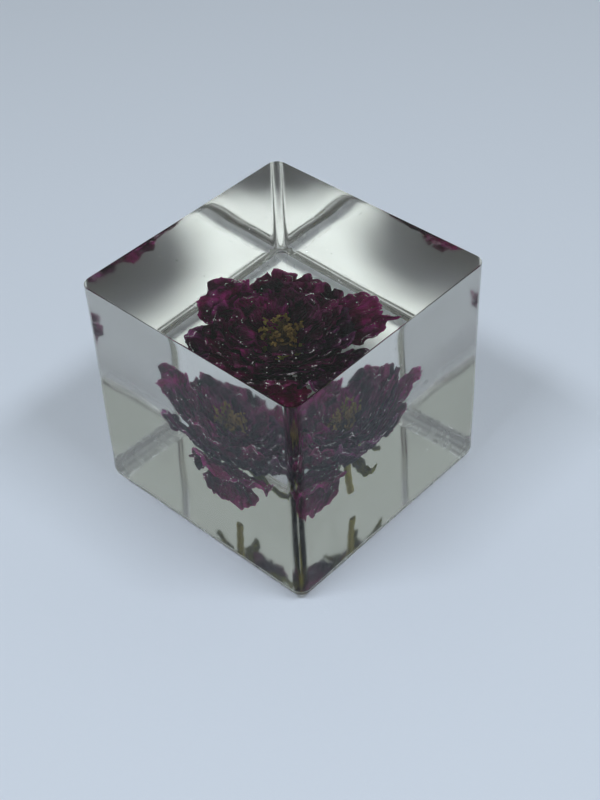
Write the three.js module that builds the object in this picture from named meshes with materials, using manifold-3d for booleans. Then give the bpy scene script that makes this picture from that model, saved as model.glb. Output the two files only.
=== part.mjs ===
/**
 * Dried rose sealed in a clear cast block, modelled in millimetres with +Z up.
 *
 * The block stands on its rounded foot and its open casting face is up, so its top edges are sharp.
 * It is parted level through the pocket that holds the flower. The flower is a hip with a short
 * stem, five sepals, many petals and a tuft of stamens. Every petal lies on a shell of its own
 * about the flower's heart. A shell that opens wider lies outside one that opens less at every
 * distance, so the petals nest without touching.
 *
 * The origin is the middle of the underside. The face towards -Y and the face towards +X are the
 * two that show in front.
 */
import * as THREE from 'three';
import { mergeVertices } from 'three/addons/utils/BufferGeometryUtils.js';
import { ConvexGeometry } from 'three/addons/geometries/ConvexGeometry.js';
import Module from 'manifold-3d';

const wasm = await Module();
wasm.setup();

// Block
const BLOCK_WIDTH = 50;
const BLOCK_HEIGHT = 47;
const UPRIGHT_EDGE_RADIUS = 2.2;
const FOOT_EDGE_RADIUS = 1.8;
const CORNER_STEPS = 5;
const FOOT_STEPS = 4;
const PARTING_HEIGHT = 18;
const PARTING_GAP = 0.3;
const POCKET_EASE = 1.05;

// Flower
const HEART = new THREE.Vector3(0.6, -1.8, 15.8);
const HIP_RADIUS = 3.5;
const GOLDEN_ANGLE = 137.508;

// Petals: lengths from the heart, and angles in degrees
const CLAW = 4;
const CLAW_SPREAD = 12;
const FULL_SPREAD_AT = 0.7;
const FULL_OPEN_AT = 18;
const PETAL_THICKNESS = 0.4;
const RIM_ROUNDING = 0.24;
const RIM_RAGGED = { slow: { height: 0.035, across: 4.1 }, quick: { height: 0.015, across: 9 } };
const RIPPLE = { height: 0.8, across: 3.1, along: 4 };
const POINT_PLACE = -0.5;
const POINT_WIDTH = 0.17;
const POINT_RISE = 1.4;

/** Waves that all petals share: their height in degrees, and how they run around and outwards. */
const COMMON_WAVES = [
  { height: 3.5, around: 2, lead: 0.6, outwards: 0 },
  { height: 2.6, around: 5, lead: -1.1, outwards: 0.16 },
  { height: 1.0, around: 9, lead: 0, outwards: 0.5 },
];

// Petals of the spiral, from the stamens outwards
const SPIRAL_PETALS = 26;
const SPIRAL_PHASE = 1.7;
const SPIRAL_START = 40;
const SPIRAL_BASE = [40, 100];
const SPIRAL_OPEN = [37, 56];
const SPIRAL_RIM_HEIGHT = [9.6, 9.2];
const SPIRAL_RIM_VARIES = { height: 0.5, turn: 2.4 };
const SPIRAL_SPREAD = [19, 34];
const COARSE_STEPS = [3, 4];
const FINE_STEPS = [5, 6];
const FINE_FROM = 0.55;
const OUTER_STEPS = [8, 7];
const OUTER_PHASE = 2.3;

// Stem and hip
const STEM_RADIUS = 0.85;
const STEM_FOOT_HEIGHT = 3.6;
const STEM_LEAN = new THREE.Vector2(0.1, 0.7);
const STEM_RING_DROPS = [10, 8, 6, 4.4];
const HIP_START = -66;
const HIP_STEP = 13;
const STEM_SIDES = 12;

// Stamens
const STAMEN_COUNT = 34;
const STAMEN_PAD = { radius: 2.1, height: 0.6, above: 4.15, sides: 16, rooted: 0.85 };
const FILAMENT_RADIUS = 0.17;
const FILAMENT_SIDES = 3;
const FILAMENT_LENGTH = { least: 4, most: 5.8, turn: 2.9 };
const STAMEN_LEAN = 31;
const ANTHER_SIZE = new THREE.Vector3(0.5, 0.5, 0.75);

/**
 * The outer petals: where each points, its opening at the hip and at its rim, its length, half its
 * width as an angle and the length of a curled point on it.
 */
const OUTER_PETALS = [
  { name: 'petal_point', toward: 56, base: 104, open: 60, reach: 20.5, spread: 27, point: 5 },
  { name: 'petal_left', toward: 183, base: 104, open: 58, reach: 20.3, spread: 27, point: 0 },
  { name: 'petal_front', toward: 286, base: 104, open: 61, reach: 18.8, spread: 42, point: 0 },
  { name: 'petal_back', toward: 126, base: 107, open: 66, reach: 18, spread: 39, point: 0 },
  { name: 'petal_front_left', toward: 229, base: 108, open: 71, reach: 17.4, spread: 30, point: 0 },
  { name: 'petal_right', toward: -4, base: 109, open: 67, reach: 20, spread: 32, point: 0 },
  { name: 'petal_back_low', toward: 70, base: 113, open: 80, reach: 15, spread: 28, point: 0 },
  { name: 'petal_front_low', toward: 291, base: 111.5, open: 86, reach: 17.6, spread: 43, point: 0 },
  { name: 'petal_left_low', toward: 240, base: 114, open: 102, reach: 12.8, spread: 22, point: 0 },
  { name: 'petal_droop', toward: 281, base: 117.5, open: 117, reach: 15, spread: 42, point: 0 },
];

/** The sepals: where each points, its opening, its length and how much it curls under. */
const SEPALS = [
  { toward: 3, open: 120, reach: 15, curl: -17 },
  { toward: 82, open: 126, reach: 10.8, curl: 4 },
  { toward: 150, open: 120, reach: 10, curl: -12 },
  { toward: 214, open: 124, reach: 9, curl: -6 },
  { toward: 294, open: 132, reach: 8, curl: 0 },
];
const SEPAL_HALF_WIDTH = { foot: 1.1, tip: 2 };
const SEPAL_THICKNESS = 0.45;
const SEPAL_TIP = 0.2;
const SEPAL_CUP = 4;
const SEPAL_STEPS = [3, 7];

const RESIN = {
  color: 0xdfe6e2,
  roughness: 0.04,
  metalness: 0,
  transparent: true,
  opacity: 0.35,
};
const PETAL = { color: 0x4a1230, roughness: 0.6, metalness: 0 };
const GREEN = { color: 0x6f6f35, roughness: 0.65, metalness: 0 };
const POLLEN = { color: 0x8a7636, roughness: 0.8, metalness: 0 };

const group = new THREE.Group();
const flower = [];

/** Degrees to radians. */
function radians(degrees) {
  return THREE.MathUtils.degToRad(degrees);
}

/** Adds one named piece to the part. */
function addPiece(name, geometry, finish) {
  const mesh = new THREE.Mesh(geometry, new THREE.MeshStandardMaterial(finish));
  mesh.name = name;
  group.add(mesh);
  return mesh;
}

/** Joins shared corners and drops faces that have no area. */
function closed(geometry) {
  const bare = geometry.clone();
  bare.deleteAttribute('normal');
  bare.deleteAttribute('uv');
  const merged = mergeVertices(bare, 1e-4);
  const index = merged.getIndex().array;
  const kept = [];
  for (let i = 0; i < index.length; i += 3) {
    const [a, b, c] = [index[i], index[i + 1], index[i + 2]];
    if (a !== b && b !== c && c !== a) kept.push(a, b, c);
  }
  merged.setIndex(kept);
  merged.computeVertexNormals();
  return merged;
}

/** A closed geometry as a solid that can be joined and cut. */
function toSolid(geometry) {
  const shape = closed(geometry);
  return new wasm.Manifold(
    new wasm.Mesh({
      numProp: 3,
      vertProperties: new Float32Array(shape.getAttribute('position').array),
      triVerts: new Uint32Array(shape.getIndex().array),
    }),
  );
}

/** A joined or cut solid back as a geometry. */
function toGeometry(solid) {
  const mesh = solid.getMesh();
  const geometry = new THREE.BufferGeometry();
  geometry.setAttribute('position', new THREE.BufferAttribute(mesh.vertProperties, 3));
  geometry.setIndex(new THREE.BufferAttribute(mesh.triVerts, 1));
  geometry.computeVertexNormals();
  return geometry;
}

/** The point at one distance from the heart, at an opening from straight up and a direction. */
function fromHeart(distance, opening, direction) {
  const up = radians(opening);
  const round = radians(direction);
  return new THREE.Vector3(
    Math.sin(up) * Math.cos(round),
    Math.sin(up) * Math.sin(round),
    Math.cos(up),
  )
    .multiplyScalar(distance)
    .add(HEART);
}

/** How far all petals wave in or out together at one place, in degrees of opening. */
function commonWave(distance, direction) {
  const round = radians(direction);
  const far = distance / FULL_OPEN_AT;
  return COMMON_WAVES.reduce(
    (sum, { height, around, lead, outwards }) =>
      sum + far * height * Math.sin(around * round + lead + outwards * distance),
    0,
  );
}

/** A petal's opening at one place: it turns from its base angle to its open one, as a bowl does. */
function shellOpening(petal, distance, direction) {
  const turned = Math.min(1, (distance - CLAW) / (FULL_OPEN_AT - CLAW));
  const bowl = Math.sin((Math.PI / 2) * turned);
  return petal.base + (petal.open - petal.base) * bowl + commonWave(distance, direction);
}

/** How far along its length a petal's rim reaches, at a place across it from -1 to 1. */
function rimShape(across, phase) {
  const round = 1 - RIM_ROUNDING * across ** 4;
  const { slow, quick } = RIM_RAGGED;
  const torn = quick.height * Math.sin(quick.across * across - phase);
  return round + slow.height * Math.sin(slow.across * across + phase) + torn;
}

/** A petal's surface at a place across it, from -1 to 1, and along it, from 0 to 1. */
function petalPoint(petal, across, along) {
  const tip = petal.reach * rimShape(across, petal.phase);
  const spike = Math.exp(-(((across - POINT_PLACE) / POINT_WIDTH) ** 2));
  const distance = CLAW + (tip + petal.point * spike - CLAW) * along;
  const widen = Math.sin((Math.PI / 2) * Math.min(1, along / FULL_SPREAD_AT));
  const spread = CLAW_SPREAD + (petal.spread - CLAW_SPREAD) * widen;
  const direction = petal.toward + across * spread;
  const lead = RIPPLE.across * across + RIPPLE.along * along + petal.phase;
  const ripple = RIPPLE.height * along * Math.sin(lead);
  const raised = POINT_RISE * petal.point * spike * along ** 3;
  const opening = shellOpening(petal, distance, direction) + ripple - raised;
  return fromHeart(distance, opening, direction);
}

/** A sepal's surface, narrow and pointed, from the hip outwards. */
function sepalPoint(sepal, across, along) {
  const distance = CLAW + (sepal.reach - CLAW) * along;
  const taper = Math.max(SEPAL_TIP, Math.sqrt(Math.max(0, 1 - along ** 2)));
  const half = THREE.MathUtils.lerp(SEPAL_HALF_WIDTH.foot, SEPAL_HALF_WIDTH.tip, along) * taper;
  const spread = THREE.MathUtils.radToDeg(half / distance);
  const opening = sepal.open + sepal.curl * along ** 2 - SEPAL_CUP * across ** 2;
  return fromHeart(distance, opening, sepal.toward + across * spread);
}

/**
 * A closed leaf of even thickness on a surface given by a function of (across, along).
 * It is a flat box with its faces bent onto the two sides of the surface.
 */
function leafGeometry(surface, thickness, acrossSteps, alongSteps) {
  const box = new THREE.BoxGeometry(2, 1, 1, acrossSteps, alongSteps, 1);
  const place = box.getAttribute('position');
  const step = 0.01;
  for (let i = 0; i < place.count; i += 1) {
    const across = place.getX(i);
    const along = place.getY(i) + 0.5;
    const point = surface(across, along);
    const sideways = surface(across + step, along).sub(surface(across - step, along));
    const outwards = surface(across, along + step).sub(surface(across, along - step));
    const normal = sideways.cross(outwards).normalize();
    point.addScaledVector(normal, place.getZ(i) * thickness);
    place.setXYZ(i, point.x, point.y, point.z);
  }
  return closed(box);
}

/** Adds a piece of the flower and keeps its corners for the pocket around it. */
function addToFlower(name, geometry, finish) {
  flower.push(geometry);
  return addPiece(name, geometry, finish);
}

/** The petals of the spiral: narrow and upright at the stamens, wide and open outside. */
function addSpiralPetals() {
  for (let i = 0; i < SPIRAL_PETALS; i += 1) {
    const grown = i / (SPIRAL_PETALS - 1);
    const petal = {
      toward: SPIRAL_START + GOLDEN_ANGLE * i,
      base: THREE.MathUtils.lerp(...SPIRAL_BASE, grown),
      open: THREE.MathUtils.lerp(...SPIRAL_OPEN, grown),
      spread: THREE.MathUtils.lerp(...SPIRAL_SPREAD, grown),
      point: 0,
      phase: SPIRAL_PHASE * i,
    };
    const height = THREE.MathUtils.lerp(...SPIRAL_RIM_HEIGHT, grown);
    const varied = SPIRAL_RIM_VARIES.height * Math.sin(SPIRAL_RIM_VARIES.turn * i);
    petal.reach = (height + varied) / Math.cos(radians(petal.open));
    const steps = grown > FINE_FROM ? FINE_STEPS : COARSE_STEPS;
    const name = `petal_${String(i + 1).padStart(2, '0')}`;
    const surface = (across, along) => petalPoint(petal, across, along);
    addToFlower(name, leafGeometry(surface, PETAL_THICKNESS, ...steps), PETAL);
  }
}

/** The outermost petals, each at its own place around the flower. */
function addOuterPetals() {
  OUTER_PETALS.forEach((row, i) => {
    const petal = { ...row, phase: OUTER_PHASE * i };
    const surface = (across, along) => petalPoint(petal, across, along);
    addToFlower(petal.name, leafGeometry(surface, PETAL_THICKNESS, ...OUTER_STEPS), PETAL);
  });
}

/** The five sepals under the petals. */
function addSepals() {
  SEPALS.forEach((sepal, i) => {
    const surface = (across, along) => sepalPoint(sepal, across, along);
    addToFlower(`sepal_${i + 1}`, leafGeometry(surface, SEPAL_THICKNESS, ...SEPAL_STEPS), GREEN);
  });
}

/** The hip, a ball under the petals, with the stem that was cut short below it. */
function addStem() {
  const footDrop = HEART.z - STEM_FOOT_HEIGHT;
  const profile = [new THREE.Vector2(0, -footDrop), new THREE.Vector2(STEM_RADIUS, -footDrop)];
  for (const drop of STEM_RING_DROPS) profile.push(new THREE.Vector2(STEM_RADIUS, -drop));
  for (let angle = HIP_START; angle < 90; angle += HIP_STEP) {
    const turn = radians(angle);
    profile.push(new THREE.Vector2(HIP_RADIUS * Math.cos(turn), HIP_RADIUS * Math.sin(turn)));
  }
  profile.push(new THREE.Vector2(0, HIP_RADIUS));
  const lathe = new THREE.LatheGeometry(profile, STEM_SIDES);
  const place = lathe.getAttribute('position');
  for (let i = 0; i < place.count; i += 1) {
    const height = place.getY(i);
    const bend = (Math.max(0, -height - HIP_RADIUS) / (footDrop - HIP_RADIUS)) ** 2;
    place.setXYZ(
      i,
      HEART.x + place.getX(i) + STEM_LEAN.x * bend,
      HEART.y - place.getZ(i) + STEM_LEAN.y * bend,
      HEART.z + height,
    );
  }
  addToFlower('stem', closed(lathe), GREEN);
}

/** One stamen, a thin filament with an anther on its end, leaning from its root on the pad. */
function stamen(root, way, length) {
  const filament = new THREE.CylinderGeometry(
    FILAMENT_RADIUS,
    FILAMENT_RADIUS,
    length,
    FILAMENT_SIDES,
  );
  filament.rotateX(Math.PI / 2);
  filament.translate(0, 0, length / 2);
  const anther = new THREE.OctahedronGeometry(1);
  anther.scale(ANTHER_SIZE.x, ANTHER_SIZE.y, ANTHER_SIZE.z);
  anther.translate(0, 0, length);
  const turn = new THREE.Quaternion().setFromUnitVectors(new THREE.Vector3(0, 0, 1), way);
  for (const geometry of [filament, anther]) {
    geometry.applyQuaternion(turn);
    geometry.translate(root.x, root.y, root.z);
  }
  return toSolid(filament).add(toSolid(anther));
}

/** The stamens, grown together on one round pad over the hip. */
function addStamens() {
  const { radius, height, above, sides, rooted } = STAMEN_PAD;
  const middle = HEART.clone().add(new THREE.Vector3(0, 0, above));
  const pad = new THREE.CylinderGeometry(radius, radius, height, sides);
  pad.rotateX(Math.PI / 2);
  pad.translate(middle.x, middle.y, middle.z);
  let tuft = toSolid(pad);
  for (let i = 0; i < STAMEN_COUNT; i += 1) {
    const out = Math.sqrt((i + 0.5) / STAMEN_COUNT);
    const round = radians(GOLDEN_ANGLE * i);
    const lean = radians(STAMEN_LEAN * out);
    const aside = new THREE.Vector3(Math.cos(round), Math.sin(round), 0);
    const way = aside.clone().multiplyScalar(Math.sin(lean));
    way.z = Math.cos(lean);
    const longer = 0.5 + 0.5 * Math.sin(FILAMENT_LENGTH.turn * i);
    const length = THREE.MathUtils.lerp(FILAMENT_LENGTH.least, FILAMENT_LENGTH.most, longer);
    const root = middle.clone().addScaledVector(aside, rooted * radius * out);
    tuft = tuft.add(stamen(root, way, length));
  }
  addToFlower('stamens', closed(toGeometry(tuft)), POLLEN);
}

/** One level outline of the block, a rounded square drawn in from its full width by inset. */
function blockOutline(inset, height) {
  const radius = UPRIGHT_EDGE_RADIUS - inset;
  const centre = BLOCK_WIDTH / 2 - UPRIGHT_EDGE_RADIUS;
  const ring = [];
  for (let corner = 0; corner < 4; corner += 1) {
    const [sideX, sideY] = [[1, 1], [-1, 1], [-1, -1], [1, -1]][corner];
    for (let step = 0; step <= CORNER_STEPS; step += 1) {
      const turn = radians(90 * (corner + step / CORNER_STEPS));
      ring.push(
        new THREE.Vector3(
          sideX * centre + radius * Math.cos(turn),
          sideY * centre + radius * Math.sin(turn),
          height,
        ),
      );
    }
  }
  return ring;
}

/** A closed body through level outlines from the lowest to the highest, flat at both ends. */
function stack(rings) {
  const count = rings[0].length;
  const points = rings.flat();
  const middle = (ring) => ring.reduce((sum, p) => sum.add(p), new THREE.Vector3());
  points.push(middle(rings[0]).divideScalar(count));
  points.push(middle(rings[rings.length - 1]).divideScalar(count));
  const faces = [];
  for (let level = 0; level < rings.length - 1; level += 1) {
    for (let i = 0; i < count; i += 1) {
      const [a, b] = [level * count + i, level * count + ((i + 1) % count)];
      faces.push(a, b, b + count, a, b + count, a + count);
    }
  }
  const top = (rings.length - 1) * count;
  for (let i = 0; i < count; i += 1) {
    const next = (i + 1) % count;
    faces.push(next, i, points.length - 2);
    faces.push(top + i, top + next, points.length - 1);
  }
  const geometry = new THREE.BufferGeometry().setFromPoints(points);
  geometry.setIndex(faces);
  return geometry;
}

/** The block's two halves, with the pocket that fits around the whole flower cut from both. */
function addResin() {
  const foot = [];
  for (let step = 0; step <= FOOT_STEPS; step += 1) {
    const turn = radians((90 * step) / FOOT_STEPS);
    foot.push(
      blockOutline(
        FOOT_EDGE_RADIUS * (1 - Math.sin(turn)),
        FOOT_EDGE_RADIUS * (1 - Math.cos(turn)),
      ),
    );
  }
  const lower = [...foot, blockOutline(0, PARTING_HEIGHT - PARTING_GAP / 2)];
  const upper = [blockOutline(0, PARTING_HEIGHT + PARTING_GAP / 2), blockOutline(0, BLOCK_HEIGHT)];
  const corners = [];
  for (const geometry of flower) {
    const place = geometry.getAttribute('position');
    for (let i = 0; i < place.count; i += 1) {
      const corner = new THREE.Vector3().fromBufferAttribute(place, i);
      corners.push(corner.sub(HEART).multiplyScalar(POCKET_EASE).add(HEART));
    }
  }
  const pocket = toSolid(new ConvexGeometry(corners));
  addPiece('resin_lower', closed(toGeometry(toSolid(stack(lower)).subtract(pocket))), RESIN);
  addPiece('resin_upper', closed(toGeometry(toSolid(stack(upper)).subtract(pocket))), RESIN);
}

addStem();
addStamens();
addSpiralPetals();
addOuterPetals();
addSepals();
addResin();

export default group;
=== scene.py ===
"""Dried rose sealed in a clear cast block: the visual model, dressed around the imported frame.

Lengths in the classes are millimetres and angles are degrees, as on the part's drawing; the studio
is in metres, and so are the finished meshes. The petals, sepals and stem repeat the drawing's
surfaces, and one crumpling of space is laid over the flower, so that neighbours crease together.
"""

from __future__ import annotations

import logging
import math
from dataclasses import dataclass, field
from enum import Enum

import bmesh
import bpy
import numpy as np
from mathutils import Matrix, Vector


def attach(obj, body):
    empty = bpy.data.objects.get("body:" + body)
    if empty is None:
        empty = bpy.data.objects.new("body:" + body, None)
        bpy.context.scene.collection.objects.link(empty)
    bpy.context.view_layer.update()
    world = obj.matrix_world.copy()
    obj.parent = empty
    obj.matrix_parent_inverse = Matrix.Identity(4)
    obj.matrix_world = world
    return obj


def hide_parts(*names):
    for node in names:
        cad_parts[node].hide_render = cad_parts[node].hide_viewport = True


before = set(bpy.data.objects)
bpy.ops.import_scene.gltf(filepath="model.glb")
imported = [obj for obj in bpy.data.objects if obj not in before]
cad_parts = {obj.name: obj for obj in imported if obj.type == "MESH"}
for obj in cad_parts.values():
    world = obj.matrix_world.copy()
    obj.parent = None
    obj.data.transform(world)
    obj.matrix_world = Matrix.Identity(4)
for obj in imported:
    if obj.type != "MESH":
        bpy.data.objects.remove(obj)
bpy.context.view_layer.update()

LOG = logging.getLogger("rose_block")
MM = 0.001
SEED = 7
GOLDEN_ANGLE = 137.508
HEART = np.array((0.6, -1.8, 15.8))
RAISED_MIDDLE = 0.5
RAISED_PER_MM = 0.36


def turned(value: np.ndarray | float) -> np.ndarray | float:
    """Degrees to radians."""
    return np.radians(value)


def fade(value: np.ndarray, low: float, high: float) -> np.ndarray:
    """A smooth step from 0 at low to 1 at high, or the other way round where low is the larger."""
    part = np.clip((value - low) / (high - low), 0.0, 1.0)
    return part * part * (3.0 - 2.0 * part)


def from_heart(distance: np.ndarray, opening: np.ndarray, direction: np.ndarray) -> np.ndarray:
    """Points around the flower's heart.

    Args:
        distance: How far from the heart, in mm.
        opening: The angle from straight up.
        direction: The angle around the flower.

    Returns:
        The points, with x, y and z in the last axis.
    """
    up, around = turned(opening), turned(direction)
    level = np.sin(up)
    way = np.stack((level * np.cos(around), level * np.sin(around), np.cos(up)), axis=-1)
    return HEART + way * np.asarray(distance)[..., None]


def grid_normals(points: np.ndarray) -> np.ndarray:
    """The unit normals of a grid of points.

    Args:
        points: The grid, with x, y and z in the last axis.

    Returns:
        One normal for each point.
    """
    sideways = np.gradient(points, axis=0)
    onwards = np.gradient(points, axis=1)
    normal = np.cross(sideways, onwards)
    return normal / np.maximum(np.linalg.norm(normal, axis=-1, keepdims=True), 1e-12)


# Meshes


@dataclass
class Skin:
    """Corners, faces and face coordinates that are gathered into one mesh."""

    corners: list[np.ndarray] = field(default_factory=list)
    faces: list[np.ndarray] = field(default_factory=list)
    places: list[np.ndarray] = field(default_factory=list)
    marks: list[np.ndarray] = field(default_factory=list)
    slots: list[np.ndarray] = field(default_factory=list)
    count: int = 0

    def add(
        self,
        corners: np.ndarray,
        faces: np.ndarray,
        places: np.ndarray | None = None,
        marks: np.ndarray | float = 0.5,
        slot: np.ndarray | int = 0,
    ) -> None:
        """Adds one closed shell.

        Args:
            corners: The corners in mm, one row each.
            faces: Corner numbers, one row a face; a fourth corner of -1 marks a triangle.
            places: A coordinate pair for each corner, for the finish to read.
            marks: A number for each corner that the finish reads, such as how far a fold stands up.
            slot: Which of the piece's materials it has, or one number for each face.
        """
        if faces.shape[1] == 3:
            faces = np.hstack((faces, np.full((len(faces), 1), -1)))
        if places is None:
            places = np.zeros((len(corners), 2))
        self.corners.append(corners)
        self.faces.append(np.where(faces < 0, -1, faces + self.count))
        self.places.append(places)
        self.marks.append(np.broadcast_to(marks, len(corners)))
        self.slots.append(np.full(len(faces), slot))
        self.count += len(corners)

    def piece(self, name: str, materials: list[bpy.types.Material]) -> bpy.types.Object:
        """Makes the object.

        Args:
            name: The object's name.
            materials: Its materials, in the order of the slots.

        Returns:
            The object, in the scene.
        """
        corners = np.vstack(self.corners) * MM
        faces = np.vstack(self.faces)
        places = np.vstack(self.places)
        sides = np.where(faces[:, 3] < 0, 3, 4)
        loops = faces[faces >= 0]
        mesh = bpy.data.meshes.new(name)
        mesh.vertices.add(len(corners))
        mesh.vertices.foreach_set("co", corners.ravel())
        mesh.loops.add(len(loops))
        mesh.loops.foreach_set("vertex_index", loops.astype(np.int32))
        mesh.polygons.add(len(faces))
        starts = np.concatenate(((0,), np.cumsum(sides)[:-1]))
        mesh.polygons.foreach_set("loop_start", starts.astype(np.int32))
        mesh.polygons.foreach_set("material_index", np.concatenate(self.slots).astype(np.int32))
        layer = mesh.uv_layers.new(name="place")
        layer.data.foreach_set("uv", places[loops].astype(np.float32).ravel())
        mark = mesh.attributes.new("mark", "FLOAT", "POINT")
        mark.data.foreach_set("value", np.concatenate(self.marks).astype(np.float32))
        mesh.update(calc_edges=True)
        mesh.validate()
        mesh.shade_smooth()
        for material in materials:
            mesh.materials.append(material)
        made = bpy.data.objects.new(name, mesh)
        bpy.context.scene.collection.objects.link(made)
        return made


def grid_faces(rows: int, columns: int) -> np.ndarray:
    """The quads of an open grid of corners, numbered row by row.

    Args:
        rows: How many rows of corners there are.
        columns: How many corners a row has.

    Returns:
        The faces.
    """
    start = np.arange(rows - 1)[:, None] * columns + np.arange(columns - 1)[None, :]
    start = start.ravel()
    return np.stack((start, start + columns, start + columns + 1, start + 1), axis=1)


def leaf_places(steps: tuple[int, int]) -> tuple[np.ndarray, np.ndarray]:
    """The grid that a leaf is drawn on.

    Args:
        steps: How many points it has across and along.

    Returns:
        Where each point is across, from -1 to 1, and along, from 0 at the root to 1 at the tip.
    """
    across, along = np.linspace(-1.0, 1.0, steps[0]), np.linspace(0.0, 1.0, steps[1])
    return tuple(np.meshgrid(across, along, indexing="ij"))


def leaf_shell(centre: np.ndarray, thickness: np.ndarray) -> tuple[np.ndarray, np.ndarray]:
    """A closed leaf around a grid of points.

    Args:
        centre: The grid, across first and along second.
        thickness: The leaf's thickness at each point, in mm.

    Returns:
        The corners and the faces.
    """
    rows, columns = centre.shape[:2]
    offset = grid_normals(centre) * (thickness[..., None] / 2.0)
    corners = np.concatenate(((centre + offset).reshape(-1, 3), (centre - offset).reshape(-1, 3)))
    front = grid_faces(rows, columns)
    back = front[:, ::-1] + rows * columns
    number = np.arange(rows * columns).reshape(rows, columns)
    loop = np.concatenate((number[:, 0], number[-1, 1:], number[-2::-1, -1], number[0, -2:0:-1]))
    after = np.roll(loop, -1)
    far = rows * columns
    rim = np.stack((loop, loop + far, after + far, after), axis=1)
    return corners, np.concatenate((front, back, rim[:, ::-1]))


def leaf_piece(
    name: str,
    grid: np.ndarray,
    raised: np.ndarray,
    thickness: np.ndarray,
    material: bpy.types.Material,
) -> bpy.types.Object:
    """Makes a petal or a sepal.

    Args:
        name: The piece's name.
        grid: Its middle surface, across first and along second.
        raised: How far its folds stand up at each point, from 0 to 1.
        thickness: How thick it is at each point, in mm.
        material: Its finish.

    Returns:
        The piece.
    """
    across, along = leaf_places(grid.shape[:2])
    places = np.stack((0.5 + 0.5 * across, along), axis=-1).reshape(-1, 2)
    skin = Skin()
    corners, faces = leaf_shell(grid, thickness)
    skin.add(corners, faces, np.vstack((places, places)), np.tile(raised.ravel(), 2))
    return skin.piece(name, [material])


def closed_rings(rows: int, columns: int) -> np.ndarray:
    """The faces of a stack of closed rings, with a cap at each end.

    Args:
        rows: How many rings there are.
        columns: How many corners each ring has.

    Returns:
        The faces. The caps meet in two corners that follow those of the rings, the first one's
        cap before the last one's.
    """
    number = np.arange(rows * columns).reshape(rows, columns)
    beside = np.roll(number, -1, axis=1)
    walls = np.stack((number[:-1], beside[:-1], beside[1:], number[1:]), axis=-1).reshape(-1, 4)
    low, high = rows * columns, rows * columns + 1
    ends = [(beside[0, i], number[0, i], low, -1) for i in range(columns)]
    ends += [(number[-1, i], beside[-1, i], high, -1) for i in range(columns)]
    return np.vstack((walls, np.array(ends)))


def ball(rings: int) -> tuple[np.ndarray, np.ndarray]:
    """A unit ball of even triangles.

    Args:
        rings: How many times it is subdivided, from 1 for the plain twenty sides.

    Returns:
        The corners and the faces.
    """
    shape = bmesh.new()
    bmesh.ops.create_icosphere(shape, subdivisions=rings, radius=1.0)
    corners = np.array([corner.co[:] for corner in shape.verts])
    faces = np.array([[corner.index for corner in face.verts] for face in shape.faces])
    shape.free()
    return corners, faces


def tube(path: np.ndarray, radius: np.ndarray, sides: int) -> tuple[np.ndarray, np.ndarray]:
    """A closed round tube along a path.

    Args:
        path: The middle of the tube, one row a step.
        radius: Its radius at each step, in mm.
        sides: How many sides it has.

    Returns:
        The corners and the faces.
    """
    ahead = np.gradient(path, axis=0)
    ahead /= np.linalg.norm(ahead, axis=1, keepdims=True)
    aside = np.cross(ahead, (0.31, 0.95, 0.05))
    aside /= np.linalg.norm(aside, axis=1, keepdims=True)
    other = np.cross(ahead, aside)
    turn = np.arange(sides) * (2.0 * math.pi / sides)
    ring = aside[:, None] * np.cos(turn)[:, None] + other[:, None] * np.sin(turn)[:, None]
    corners = (path[:, None] + ring * radius[:, None, None]).reshape(-1, 3)
    return np.vstack((corners, path[0], path[-1])), closed_rings(len(path), sides)


# Crumpling


@dataclass(frozen=True)
class Crease:
    """One family of sharp folds: their height, down where negative, spacing, way and place."""

    height: float
    spacing: float
    way: float
    lead: float

    def over(self, first: np.ndarray, second: np.ndarray) -> np.ndarray:
        """Folds a plane.

        Args:
            first: The plane's first coordinate of each place, in mm.
            second: Its second one.

        Returns:
            How far the folds lift each place, in mm.
        """
        way = math.radians(self.way)
        ahead = first * math.cos(way) + second * math.sin(way)
        aside = second * math.cos(way) - first * math.sin(way)
        bend = 0.42 * np.sin(2.0 * math.pi * aside / (2.7 * self.spacing) + 3.0 * self.lead)
        wave = np.abs(np.sin(math.pi * (ahead / self.spacing + bend) + self.lead))
        gain = 0.75 + 0.45 * np.sin((1.9 * ahead - 1.3 * aside) / self.spacing + 5.0 * self.lead)
        return self.height * gain * (2.0 * wave - 1.27)


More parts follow.
